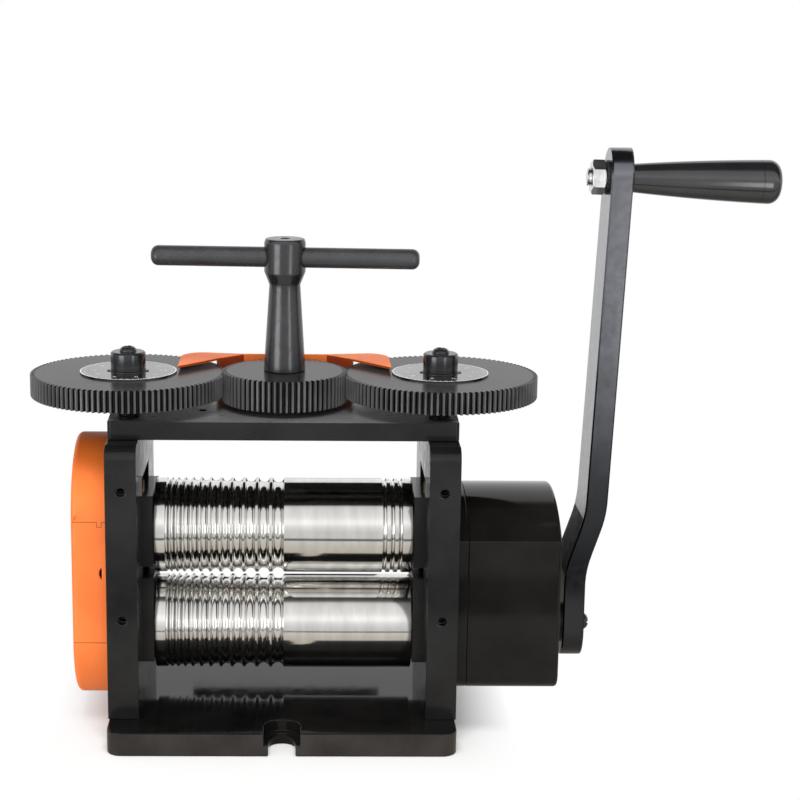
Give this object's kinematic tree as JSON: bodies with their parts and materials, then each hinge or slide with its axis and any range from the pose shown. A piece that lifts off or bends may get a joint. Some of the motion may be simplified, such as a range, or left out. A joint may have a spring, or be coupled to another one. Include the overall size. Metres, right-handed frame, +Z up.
{
  "type": "hand cranked jewellers rolling mill",
  "caption": "Hand cranked bench rolling mill with a grooved and flat roll pair, geared tee-handle gap adjustment, reduction gearbox and long crank with a turning grip.",
  "frame": {"origin": "middle of the base plate's underside, on the surface it stands on", "axes": "+X along the rolls towards the crank, -Y faces the user, +Z up"},
  "size_m": [0.4032, 0.155, 0.3143],
  "materials": {
    "black_enamel": "gloss",
    "orange_paint": "fine powder coat, semi gloss",
    "black_screw": "black oxide",
    "dark_steel": "dark satin phosphate",
    "gear_steel": "dark satin",
    "dial_metal": "bright",
    "roll_steel": "ground and polished",
    "machined_steel": "machined",
    "bronze": "machined",
    "zinc": "zinc plated",
    "grip_black": "gloss"
  },
  "bodies": {
    "frame": {"base_plate": "black_enamel", "base_screws": "black_screw", "left_side_plate": "black_enamel", "right_side_plate": "black_enamel", "top_plate": "black_enamel", "top_plate_screws": "black_screw", "lower_left_bearing_block": "machined_steel", "lower_right_bearing_block": "machined_steel", "lower_left_bush": "bronze", "lower_right_bush": "bronze", "left_gear_cover": "orange_paint", "cover_posts": "machined_steel", "cover_screws": "black_screw", "gearbox_plate": "black_enamel", "gearbox_housing": "black_enamel", "gearbox_screws": "black_screw", "crank_bush": "bronze", "handle_post": "dark_steel", "gear_guard": "orange_paint", "gear_guard_screws": "black_screw", "return_springs": "machined_steel"},
    "crank": {"crank_shaft": "machined_steel", "crank_arm": "black_enamel", "crank_screw": "black_screw", "grip_stud": "zinc", "grip_lock_washer": "black_screw", "grip_nut": "zinc"},
    "grip": {"grip": "grip_black"},
    "layshaft": {"layshaft": "machined_steel", "layshaft_gear": "machined_steel"},
    "lower_roll": {"lower_roll": "roll_steel", "lower_roll_gear": "machined_steel", "lower_roll_keys": "machined_steel", "lower_roll_washer": "machined_steel", "lower_roll_bolt": "black_screw", "output_gear": "machined_steel"},
    "carriage": {"upper_left_bearing_block": "machined_steel", "upper_right_bearing_block": "machined_steel", "upper_left_bush": "bronze", "upper_right_bush": "bronze", "thrust_pads": "machined_steel"},
    "upper_roll": {"upper_roll": "roll_steel", "upper_roll_gear": "machined_steel", "upper_roll_key": "machined_steel", "upper_roll_washer": "machined_steel", "upper_roll_bolt": "black_screw"},
    "left_screw": {"left_pressure_screw": "dark_steel", "left_adjusting_gear": "gear_steel", "left_dial": "dial_metal", "left_collar": "dark_steel", "left_collar_screw": "dark_steel"},
    "right_screw": {"right_pressure_screw": "dark_steel", "right_adjusting_gear": "gear_steel", "right_dial": "dial_metal", "right_collar": "dark_steel", "right_collar_screw": "dark_steel"},
    "handle": {"handle_hub": "dark_steel", "handle_bar": "dark_steel", "centre_gear": "gear_steel", "handle_set_screws": "black_screw"}
  },
  "joints": [
    {"name": "crank_turn", "type": "hinge", "parent": "frame", "child": "crank", "pos_m": [0, 0, 0.0494], "axis": [1, 0, 0], "continuous": true},
    {"name": "grip_spin", "type": "hinge", "parent": "crank", "child": "grip", "pos_m": [0.17818, 0, 0.2982], "axis": [0.9998, 0, -0.0209], "continuous": true},
    {"name": "layshaft_turn", "type": "hinge", "parent": "frame", "child": "layshaft", "pos_m": [0, 0, 0.0794], "axis": [1, 0, 0], "continuous": true},
    {"name": "lower_roll_turn", "type": "hinge", "parent": "frame", "child": "lower_roll", "pos_m": [0, 0, 0.0494], "axis": [1, 0, 0], "continuous": true},
    {"name": "carriage_lift", "type": "slide", "parent": "frame", "child": "carriage", "axis": [0, 0, 1], "range_m": [-0.003, 0.0013], "deforming": ["return_springs"]},
    {"name": "upper_roll_turn", "type": "hinge", "parent": "carriage", "child": "upper_roll", "pos_m": [0, 0, 0.1047], "axis": [1, 0, 0], "continuous": true},
    {"name": "left_screw_turn", "type": "hinge", "parent": "carriage", "child": "left_screw", "pos_m": [-0.085, 0, 0.15], "axis": [0, 0, 1], "range_deg": [-268, 618]},
    {"name": "right_screw_turn", "type": "hinge", "parent": "carriage", "child": "right_screw", "pos_m": [0.085, 0, 0.15], "axis": [0, 0, 1], "range_deg": [-268, 618]},
    {"name": "handle_turn", "type": "hinge", "parent": "frame", "child": "handle", "pos_m": [0, 0, 0.19], "axis": [0, 0, 1], "range_deg": [-973, 422]}
  ],
  "couplings": [
    {"joint": "layshaft_turn", "follows": "crank_turn", "ratio": -0.42857},
    {"joint": "lower_roll_turn", "follows": "crank_turn", "ratio": 0.32773},
    {"joint": "upper_roll_turn", "follows": "crank_turn", "ratio": -0.32773},
    {"joint": "handle_turn", "follows": "carriage_lift", "rad_per_m": 5657.6},
    {"joint": "left_screw_turn", "follows": "carriage_lift", "rad_per_m": -3590.4},
    {"joint": "right_screw_turn", "follows": "carriage_lift", "rad_per_m": -3590.4}
  ]
}
